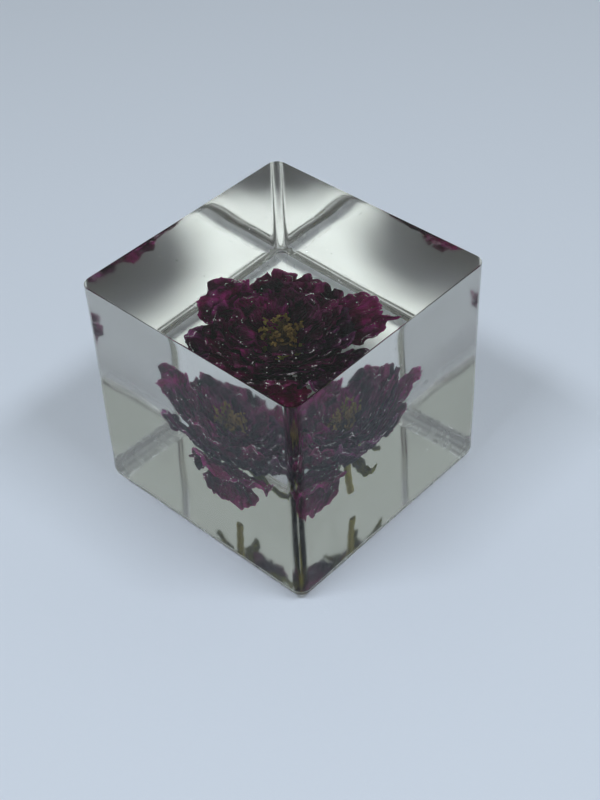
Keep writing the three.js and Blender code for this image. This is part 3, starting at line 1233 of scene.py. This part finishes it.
@dataclass
class Stamens:
    """The tuft: filaments that bend outwards from a pad, each with a small two-lobed anther."""

    count: int = 150
    clumps: int = 17
    drawn: float = 0.62
    pad_radius: float = 1.9
    pad_height: float = 0.6
    above: float = 4.15
    filament_radius: float = 0.075
    lengths: tuple[float, float] = (3.6, 5.8)
    lean: float = 34.0
    anther: tuple[float, float, float] = (0.13, 0.17, 0.46)
    anther_varies: tuple[float, float] = (0.7, 1.25)
    scatter: float = 0.16
    rooted: float = 0.85
    clump_reach: float = 4.4
    steps: int = 11
    sides: int = 6

    def build(self, crumpling: Crumpling, materials: list) -> bpy.types.Object:
        """Makes the tuft in place of its solid.

        Args:
            crumpling: The folds that the whole flower shares.
            materials: The finish of the anthers and that of the filaments and the pad.

        Returns:
            The tuft.
        """
        chance = np.random.default_rng(SEED + 3)
        middle = HEART + np.array((0.0, 0.0, self.above))
        skin = Skin()
        round_ball, round_faces = ball(3)
        pad = round_ball * (self.pad_radius, self.pad_radius, self.pad_height / 2.0)
        skin.add(middle + pad, round_faces, slot=1)
        bead, bead_faces = ball(2)
        ring = chance.uniform(0.0, 2.0 * math.pi, self.clumps)
        apart = self.clump_reach * np.sqrt(chance.random(self.clumps))
        meets = middle[:2] + np.stack((np.cos(ring), np.sin(ring)), axis=1) * apart[:, None]
        for number in range(self.count):
            out = math.sqrt((number + 0.5) / self.count)
            around = math.radians(GOLDEN_ANGLE * number) + chance.normal(0.0, self.scatter)
            lean = math.radians(self.lean * out * (1.0 + chance.normal(0.0, self.scatter)))
            shorter = 1.0 - 0.5 * fade(np.array(out), 0.6, 1.0) * chance.random()
            length = shorter * chance.uniform(*self.lengths)
            aside = np.array((math.cos(around), math.sin(around), 0.0))
            root = middle + aside * (self.rooted * self.pad_radius * out)
            steps = np.linspace(0.0, 1.0, self.steps)[:, None]
            rise = np.array((0.0, 0.0, math.cos(lean))) * steps
            bow = aside * (math.sin(lean) * steps**1.4) + rise
            wander = np.cross(aside, (0.0, 0.0, 1.0)) * np.sin(steps * 3.0 + number) * 0.12
            path = root + length * (bow + wander * steps)
            nearest = meets[np.argmin(np.linalg.norm(meets - path[-1, :2], axis=1))]
            path[:, :2] += self.drawn * steps**2 * (nearest - path[-1, :2])
            path, _ = crumpling.lay(path)
            thin = self.filament_radius * (1.2 - 0.4 * steps[:, 0])
            corners, faces = tube(path, thin, self.sides)
            skin.add(corners, faces, slot=1)
            turn = np.array(
                Matrix.Rotation(chance.uniform(0.0, 6.28), 3, "Z")
                @ Matrix.Rotation(chance.normal(0.0, 1.0), 3, "X")
            )
            size = np.array(self.anther) * chance.uniform(*self.anther_varies)
            for side in (-1.0, 1.0):
                lump = bead * size
                lump = lump * (1.0 + 0.16 * np.sin(7.0 * bead[:, [1]] + number + side))
                lump = lump + np.array((side * size[0] * 0.75, 0.0, 0.0))
                skin.add(path[-1] + lump @ turn.T, bead_faces, bead[:, :2] * 0.5 + 0.5)
        piece = skin.piece("dried_stamens", materials)
        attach(piece, "root")
        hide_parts("stamens")
        return piece


# Air on the flower


@dataclass
class CaughtAir:
    """Air that clings to the petals: round specks, and rows of beads along rims and folds, drawn as
    opaque beads whose finish paints their glints.
    """

    specks: int = 900
    speck_radius: tuple[float, float] = (0.05, 0.10)
    rows: int = 150
    bead_radius: tuple[float, float] = (0.035, 0.085)
    row_beads: int = 13
    along_rims: float = 0.75
    tries: int = 6
    bead_apart: tuple[float, float] = (0.10, 0.26)
    wander: tuple[float, float] = (0.55, 0.35)
    rim_share: float = 0.12
    sunk: tuple[float, float] = (0.6, 0.5)

    def _place(self, petal: Petal, raised: np.ndarray, chance: np.random.Generator) -> tuple:
        """Picks a place on a petal, rather on a fold or near the rim.

        Args:
            petal: The petal.
            raised: How far its folds stand up at each point, from 0 to 1.
            chance: The source of random numbers.

        Returns:
            The place's numbers in the petal's grid, across and along.
        """
        for _ in range(self.tries):
            across = int(chance.integers(1, petal.steps[0] - 1))
            along = int(petal.steps[1] * (1.0 - 0.8 * chance.random() ** 1.4))
            along = min(petal.steps[1] - 2, max(2, along))
            if chance.random() < raised[across, along] ** 2:
                break
        return across, along

    def _row(self, grid: np.ndarray, start: tuple, chance: np.random.Generator) -> np.ndarray:
        """One row of beads, which wanders over a petal or runs along its rim.

        Args:
            grid: The petal's surface, as a grid of points.
            start: Where the row starts, as numbers in the grid.
            chance: The source of random numbers.

        Returns:
            The place of each bead.
        """
        sizes = np.array(grid.shape[:2]) - 1.001
        pace = np.linalg.norm(grid[1:, 1:] - grid[:-1, :-1], axis=-1).mean()
        stride = chance.uniform(*self.bead_apart) / pace
        turn = np.cumsum(chance.normal(0.0, self.wander[0], self.row_beads))
        if chance.random() < self.along_rims:
            turn = math.pi * float(chance.integers(0, 2)) + self.wander[1] * turn
            start = (start[0], sizes[1] - chance.uniform(0.0, self.rim_share) * sizes[1])
        else:
            turn = turn + chance.uniform(0.0, 2.0 * math.pi)
        steps = np.stack((np.cos(turn), np.sin(turn)), axis=1) * stride
        places = np.clip(np.array(start) + np.cumsum(steps, axis=0), 0.0, sizes)
        low = places.astype(int)
        share = places - low
        first, second = share[:, :1], share[:, 1:]
        near = grid[low[:, 0], low[:, 1]] * (1 - second) + grid[low[:, 0], low[:, 1] + 1] * second
        far = grid[low[:, 0] + 1, low[:, 1]] * (1 - second)
        far = far + grid[low[:, 0] + 1, low[:, 1] + 1] * second
        return near * (1 - first) + far * first

    def build(
        self, petals: list[Petal], crumpling: Crumpling, material: bpy.types.Material
    ) -> bpy.types.Object:
        """Makes all the air that clings to the petals, as one piece.

        Args:
            petals: The petals.
            crumpling: The folds that all petals share.
            material: The air's finish.

        Returns:
            The piece.
        """
        chance = np.random.default_rng(SEED + 1)
        surfaces = [petal.surface(crumpling) for petal in petals]
        share = np.array([petal.reach**2 * petal.spread * petal.airy for petal in petals])
        share /= share.sum()
        skin = Skin()
        least, more = self.speck_radius
        shape, faces = ball(1)
        for number in range(self.specks + self.rows):
            chosen = chance.choice(len(petals), p=share)
            petal, (grid, raised) = petals[chosen], surfaces[chosen]
            across, along = self._place(petal, raised, chance)
            side = 1.0 if chance.random() < 0.5 else -1.0
            normals = side * grid_normals(grid)
            if number < self.specks:
                size = least + more * chance.random() ** 3
                lift = petal.thickness / 2.0 + self.sunk[0] * size
                skin.add(grid[across, along] + normals[across, along] * lift + shape * size, faces)
                continue
            low, high = self.bead_radius
            lifted = grid + normals * (petal.thickness / 2.0 + self.sunk[1] * low)
            for place in self._row(lifted, (across, along), chance):
                size = low + (high - low) * chance.random() ** 2
                skin.add(place + shape * size, faces)
        piece = skin.piece("caught_air", [material])
        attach(piece, "root")
        return piece


# Block


@dataclass
class Block:
    """The clear casting: rounded foot and upright edges, a crisp top, and a few bubbles."""

    width: float = 50.0
    height: float = 47.0
    upright_radius: float = 2.2
    foot_radius: float = 2.7
    foot_beads: float = 0.022
    frosted: float = 3.2
    brushed: float = 1.2
    lip: float = 0.12
    corner_steps: int = 22
    waviness: float = 0.035
    bubbles: int = 70
    bubble_room: tuple = ((-23.0, -23.0, 2.0), (23.0, 23.0, 45.0))
    bubble_radius: tuple[float, float] = (0.06, 0.16)
    foot_insets: tuple[float, ...] = (24.0, 21.0, 17.0, 13.0, 9.0, 6.0, 4.0, 3.4, 3.1, 2.85)
    foot_steps: int = 36
    foot_waves: float = 12.0
    low_levels: tuple[float, ...] = (2.85, 3.1, 3.5)
    side_steps: int = 30
    top_insets: tuple[float, ...] = (0.5, 1.0, 2.0, 4.0, 7.0, 10.0, 14.0, 18.0, 21.0, 24.0)

    def _outline(self, inset: float) -> np.ndarray:
        """One level outline of the block, anticlockwise from +X.

        Args:
            inset: How far it is drawn in from the full width, in mm.

        Returns:
            Its points, with x and y in the last axis.
        """
        radius = max(self.upright_radius - inset, 0.02)
        centre = self.width / 2.0 - self.upright_radius
        if inset > self.upright_radius:
            centre = self.width / 2.0 - inset
        edge = np.concatenate(
            ((-1.0, -0.985, -0.96), np.linspace(-0.9, 0.9, 21), (0.96, 0.985, 1.0))
        )[1:-1]
        points = []
        for corner in range(4):
            turn = np.radians(90.0 * corner + np.linspace(0.0, 90.0, self.corner_steps + 1))
            side = math.radians(90.0 * corner + 45.0)
            middle = np.array((math.cos(side), math.sin(side))) * centre * math.sqrt(2.0)
            points.append(middle + radius * np.stack((np.cos(turn), np.sin(turn)), axis=-1))
            ahead = math.radians(90.0 * corner + 90.0)
            out = np.array((math.cos(ahead), math.sin(ahead)))
            along = np.array((-out[1], out[0]))
            points.append(out * (centre + radius) + along * (edge * centre)[:, None])
        return np.vstack(points)

    def _rings(self) -> list[tuple[float, float]]:
        """The level outlines, from the middle of the foot up to the middle of the top.

        Returns:
            The inset and the height of each.
        """
        rings = [(inset, 0.0) for inset in self.foot_insets]
        for step in range(self.foot_steps + 1):
            turn = math.radians(90.0 * step / self.foot_steps)
            wave = 1.0 - math.cos(self.foot_waves * turn)
            radius = self.foot_radius * (1.0 - self.foot_beads * wave)
            rings.append(
                (
                    self.foot_radius - radius * math.sin(turn),
                    self.foot_radius - radius * math.cos(turn),
                )
            )
        top = self.height
        rings += [(0.0, level) for level in self.low_levels]
        rings += [(0.0, level) for level in np.linspace(4.0, top - 1.0, self.side_steps)]
        rings += [(0.0, top - 3.0 * self.lip), (0.0, top - 1.5 * self.lip), (0.0, top - self.lip)]
        rings += [(0.3 * self.lip, top - 0.3 * self.lip), (self.lip, top), (1.5 * self.lip, top)]
        rings += [(inset, top) for inset in self.top_insets]
        return rings

    def _shell(self) -> tuple[np.ndarray, np.ndarray, np.ndarray]:
        """The outside of the block.

        Returns:
            The corners, the faces, and how glossy each corner is: 1 on the open top, 0 where the
            mould left it satin, and less where it is frosted.
        """
        rings = self._rings()
        grid = np.stack(
            [
                np.column_stack((self._outline(inset), np.full(len(self._outline(inset)), level)))
                for inset, level in rings
            ]
        )
        x, y, z = grid[..., 0], grid[..., 1], grid[..., 2]
        upright = fade(z, 2.0, 9.0) * (1.0 - fade(z, self.height - 1.0, self.height))
        wave = np.sin(0.21 * z + 0.13 * (x + y) + 1.0) + 0.6 * np.sin(0.37 * z - 0.29 * (x - y))
        level = np.hypot(x, y)
        grid[..., 0] -= upright * self.waviness * (1.0 + wave) * x / level
        grid[..., 1] -= upright * self.waviness * (1.0 + wave) * y / level
        corners = np.vstack((grid.reshape(-1, 3), grid[0].mean(0), grid[-1].mean(0)))
        glossy = fade(corners[:, 2], self.height - 2.0 * self.lip, self.height - 0.2 * self.lip)
        inset = self.width / 2.0 - np.abs(corners[:, :2]).max(axis=1)
        low = 1.0 - fade(corners[:, 2], 0.8 * self.foot_radius, 1.05 * self.foot_radius)
        glossy -= self.frosted * low * (1.0 - fade(inset, self.foot_radius, self.foot_radius + 0.8))
        bend = self.width / 2.0 - self.upright_radius
        edge = fade(np.abs(corners[:, :2]).min(axis=1), bend, bend + 0.3)
        glossy -= self.brushed * edge * (1.0 - fade(corners[:, 2], self.height - 1.0, self.height))
        return corners, closed_rings(*grid.shape[:2]), glossy

    def _bubbles(self, skin: Skin) -> None:
        """Adds the round bubbles that hang in the clear resin.

        Args:
            skin: The block's skin, to which they are added.
        """
        chance = np.random.default_rng(SEED)
        shape, faces = ball(3)
        for _ in range(self.bubbles):
            place = chance.uniform(*self.bubble_room)
            size = self.bubble_radius[0] + self.bubble_radius[1] * chance.random() ** 3
            skin.add(place + shape * size, faces[:, ::-1], marks=1.0)

    def build(self, material: bpy.types.Material) -> bpy.types.Object:
        """Makes the block in place of the two halves of the clear solid.

        Args:
            material: The resin.

        Returns:
            The block.
        """
        skin = Skin()
        corners, faces, glossy = self._shell()
        skin.add(corners, faces, marks=glossy)
        self._bubbles(skin)
        piece = skin.piece("clear_block", [material])
        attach(piece, "root")
        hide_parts("resin_lower", "resin_upper")
        return piece


# Studio


@dataclass
class Studio:
    """A pale paper floor with a painted glow under the block, soft light from all round and above,
    and the camera.
    """

    floor_half: float = 4.0
    paper: Colour = (0.78, 0.77, 0.82, 1.0)
    camera_at: tuple[float, float, float] = (0.141981, -0.143624, 0.202686)
    forward: tuple[float, float, float] = (-0.51242997, 0.52789916, -0.677302)
    up: tuple[float, float, float] = (-0.43689597, 0.51874641, 0.7348633)
    lens: float = 66.19
    room: Colour = (0.045, 0.052, 0.056, 1.0)
    band: Colour = (0.345, 0.395, 0.385, 1.0)
    wall: Colour = (0.30, 0.33, 0.36, 1.0)
    wall_to: tuple[float, float] = (0.52, 0.28)
    band_from: tuple[float, float] = (0.42, 0.64)
    band_to: tuple[float, float] = (0.98, 0.80)
    lamp_colour: tuple[float, float, float] = (0.81, 0.94, 1.06)
    lamp_power: float = 1.25
    lamp_size: tuple[float, float] = (0.24, 0.085)
    lamp_height: float = 0.55
    lamp_leans: tuple[tuple[float, float], ...] = ((0.52, 0.10), (-0.10, -0.52))
    floor_steps: int = 9
    floor_drop: float = -0.05
    # Painted light: the glow painted on the paper under the block, with a painted shadow of the
    # flower in it.
    gathered: Colour = (0.73, 0.81, 0.80, 1.0)
    painted_glow_from: tuple[float, float] = (0.0142, 0.0262)
    painted_glow_half: tuple[float, float] = (0.0238, 0.0222)

    def camera(self) -> None:
        """Sets the camera at the photograph's viewing angle."""
        data = bpy.data.cameras.new("camera")
        data.lens = self.lens
        data.sensor_fit = "VERTICAL"
        data.sensor_width = data.sensor_height = 36.0
        data.clip_start = 0.01
        made = bpy.data.objects.new("camera", data)
        forward, up = Vector(self.forward).normalized(), Vector(self.up)
        right = forward.cross(up).normalized()
        turn = Matrix((right, right.cross(forward), -forward)).transposed().to_4x4()
        made.matrix_world = Matrix.Translation(Vector(self.camera_at)) @ turn
        bpy.context.scene.collection.objects.link(made)
        bpy.context.scene.camera = made

    def floor(self, effects: Effects) -> None:
        """Lays the paper.

        Under the block it gives off light of its own, a painted pool of light, dimmer around the
        flower as a painted shadow of it. It stands for the light that a clear block gathers there,
        which is too rarely found by chance.

        Args:
            effects: The shared effects.
        """
        material, bench = start_material("paper")
        grain = group_node(bench, effects.grain, Scale=1800.0).outputs[0]
        place = bench.add("ShaderNodeTexCoord").outputs["Object"]
        parts = bench.add("ShaderNodeSeparateXYZ", {0: place})
        # Painted light: a glow within the block's footprint, dimmed near the flower's heart as a
        # painted shadow.
        from_middle = [bench.maths("ABSOLUTE", parts.outputs[axis]) for axis in (0, 1)]
        widest = bench.maths("MAXIMUM", *from_middle)
        under = bench.ramp(widest, *self.painted_glow_half)
        apart = bench.add(
            "ShaderNodeVectorMath", {0: place, 1: HEART * (MM, MM, 0.0)}, operation="DISTANCE"
        )
        clear = bench.ramp(apart.outputs["Value"], *self.painted_glow_from)
        body = bench.surface(
            {
                "Base Color": self.paper,
                "Roughness": 0.6,
                "Normal": bench.bump(grain, 0.15, 0.0001),
                "Emission Color": self.gathered,
                "Emission Strength": bench.maths("MULTIPLY", under, clear),
            }
        )
        bench.finish(Surface=body)
        half = self.floor_half / MM
        steps = np.linspace(-half, half, self.floor_steps)
        first, second = np.meshgrid(steps, steps, indexing="ij")
        skin = Skin()
        level = np.full_like(first, self.floor_drop)
        points = np.stack((first, second, level), axis=-1).reshape(-1, 3)
        skin.add(points, grid_faces(self.floor_steps, self.floor_steps))
        made = skin.piece("paper_floor", [material])

    def light(self) -> None:
        """Sets the soft light: a dim room with pale walls and a pale band, and two lamps above."""
        world = bpy.data.worlds.new("room")
        world.use_nodes = True
        bench = Bench(world.node_tree)
        way = bench.add("ShaderNodeTexCoord").outputs["Generated"]
        height = bench.add("ShaderNodeSeparateXYZ", {0: way}).outputs[2]
        share = bench.maths(
            "MULTIPLY", bench.ramp(height, *self.band_from), bench.ramp(height, *self.band_to)
        )
        colour = bench.blend(bench.ramp(height, *self.wall_to), self.room, self.wall)
        colour = bench.blend(share, colour, self.band)
        back = bench.add("ShaderNodeBackground", {"Color": colour, "Strength": 1.0})
        bench.add("ShaderNodeOutputWorld", {"Surface": back.outputs[0]})
        bpy.context.scene.world = world
        for number, (lean_x, lean_y) in enumerate(self.lamp_leans):
            data = bpy.data.lights.new(f"lamp_{number + 1}", "AREA")
            data.shape = "RECTANGLE"
            data.size, data.size_y = self.lamp_size
            data.energy = self.lamp_power
            data.color = self.lamp_colour
            made = bpy.data.objects.new(data.name, data)
            made.location = Vector((lean_x, lean_y, 1.0)) * self.lamp_height
            made.rotation_euler = made.location.to_track_quat("Z", "Y").to_euler()
            bpy.context.scene.collection.objects.link(made)

    def build(self, effects: Effects) -> None:
        """Sets up the whole studio.

        Args:
            effects: The shared effects.
        """
        self.camera()
        self.floor(effects)
        self.light()
        bpy.context.scene.view_settings.view_transform = "Standard"


def report(piece: bpy.types.Object) -> None:
    """Logs one finished piece."""
    LOG.info("%s: %d corners", piece.name, len(piece.data.vertices))


def main() -> None:
    """Builds the studio, the flower and the block."""
    logging.basicConfig(level=logging.INFO, format="%(name)s %(message)s")
    effects = Effects()
    Studio().build(effects)
    crumpling = Crumpling()
    finishes = {tone: tone.value.material(effects) for tone in PetalTone}
    petals = Corolla().petals()
    for petal in petals:
        report(petal.build(crumpling, finishes))
    green = SEPAL_FINISH.material(effects)
    for sepal in Calyx().sepals():
        report(sepal.build(crumpling, green))
    straw = [STEM_FINISH.material(effects), CROWN_FINISH.material(effects)]
    report(Stem().build(straw))
    pollen = [POLLEN_FINISH.material(effects), FILAMENT_FINISH.material(effects)]
    report(Stamens().build(crumpling, pollen))
    report(CaughtAir().build(petals, crumpling, AirFinish().material(effects)))
    report(Block().build(ResinFinish().material(effects)))


if __name__ == "__main__":
    main()
